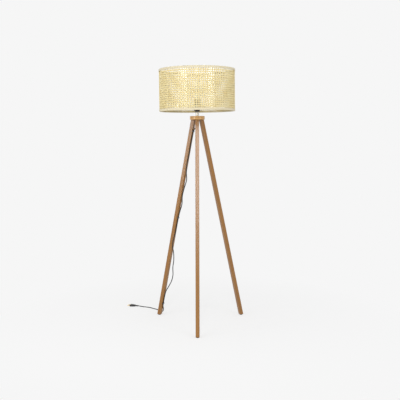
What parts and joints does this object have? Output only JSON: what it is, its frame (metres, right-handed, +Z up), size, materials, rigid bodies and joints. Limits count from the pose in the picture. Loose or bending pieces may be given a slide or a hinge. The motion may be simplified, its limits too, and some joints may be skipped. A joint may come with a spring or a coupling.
{
  "type": "tripod floor lamp",
  "caption": "Tripod floor lamp: a drum shade of woven cane over a turned wooden hub on straight square wooden legs, with a rotary switch and a black cord clipped down one leg.",
  "frame": {"origin": "on the floor, under the middle of the lamp's bounding box measured without its cord and plug", "axes": "+Z up from the feet to the shade; -Y towards the front leg, the one between the two back legs"},
  "size_m": [0.7706, 0.671, 1.525],
  "materials": {
    "cane": "natural lacquered rattan skin, satin",
    "binding_tape": "cream cotton tape, matte",
    "white_enamel": "white powder coat on steel wire and sheet, satin",
    "black_plastic": "moulded black plastic, satin",
    "hub_wood": "turned light hardwood, clear satin lacquer",
    "leg_wood": "planed light hardwood, clear satin lacquer",
    "foot_rubber": "dark brown rubber, matte",
    "steel": "zinc plated steel",
    "brass": "plain brass",
    "chrome": "polished chrome plate",
    "cord_sheath": "smooth black sheath, satin",
    "blue_insulation": "blue core insulation",
    "brown_insulation": "brown core insulation",
    "porcelain": "glazed white porcelain",
    "bulb_cap_metal": "plain aluminium",
    "clear_glass": "clear glass, polished",
    "filament": "yellow phosphor rods on a glass stem"
  },
  "bodies": {
    "stand": {"hub": "hub_wood", "leg_front": "leg_wood", "leg_back_right": "leg_wood", "leg_back_left": "leg_wood", "foot_pad_front": "foot_rubber", "foot_pad_back_right": "foot_rubber", "foot_pad_back_left": "foot_rubber", "leg_bolt_front": "steel", "leg_bolt_back_right": "steel", "leg_bolt_back_left": "steel", "clip_nail_low": "steel", "clip_nail_middle": "steel", "clip_nail_high": "steel", "threaded_tube": "steel", "tube_washer": "steel", "tube_nut": "steel", "stem": "chrome", "cord_in_tube": "cord_sheath", "cord_top": "cord_sheath", "cord_upper": "cord_sheath", "cord_lower": "cord_sheath", "cord_floor": "cord_sheath", "core_neutral": "blue_insulation", "core_live": "brown_insulation", "socket_core": "porcelain", "switch_block": "porcelain", "hub_insert_front": "brass", "hub_insert_back_right": "brass", "hub_insert_back_left": "brass", "screw_shell": "brass", "centre_contact": "brass", "cord_clip_low": "black_plastic", "cord_clip_middle": "black_plastic", "cord_clip_high": "black_plastic", "cord_bush": "black_plastic", "holder_cap": "black_plastic", "holder_body": "black_plastic", "plug_relief": "black_plastic", "plug_body": "black_plastic", "plug_pin_1": "brass", "plug_pin_2": "brass"},
    "switch": {"switch_knob": "black_plastic", "switch_shaft": "brass"},
    "shade": {"shade_cane": "cane", "shade_top_binding": "binding_tape", "shade_bottom_binding": "binding_tape", "shade_seam_strip": "binding_tape", "shade_upper_ring": "white_enamel", "shade_lower_ring": "white_enamel", "shade_fitter": "white_enamel", "shade_spoke_1": "white_enamel", "shade_spoke_2": "white_enamel", "shade_spoke_3": "white_enamel"},
    "shade_ring": {"shade_ring_nut": "black_plastic"},
    "bulb_contact": {"bulb_tip": "brass"},
    "bulb": {"bulb_cap": "bulb_cap_metal", "bulb_glass": "clear_glass", "bulb_filament": "filament"}
  },
  "joints": [
    {"name": "switch_turn", "type": "hinge", "parent": "stand", "child": "switch", "pos_m": [0, 0.02, 1.296], "axis": [0, -1, 0], "continuous": true},
    {"name": "shade_turn", "type": "hinge", "parent": "stand", "child": "shade", "pos_m": [0, 0.04324, 1.30775], "axis": [0, 0, 1], "continuous": true},
    {"name": "shade_ring_turn", "type": "hinge", "parent": "stand", "child": "shade_ring", "pos_m": [0, 0.04324, 1.3123], "axis": [0, 0, 1], "range_deg": [0, 720]},
    {"name": "bulb_lift", "type": "slide", "parent": "stand", "child": "bulb_contact", "axis": [0, 0, 1], "range_m": [0, 0.0245]},
    {"name": "bulb_turn", "type": "hinge", "parent": "bulb_contact", "child": "bulb", "pos_m": [0, 0.04324, 1.3327], "axis": [0, 0, 1], "range_deg": [0, 2430]}
  ],
  "couplings": [
    {"joint": "bulb_lift", "follows": "bulb_turn", "m_per_rad": 0.00057757}
  ]
}
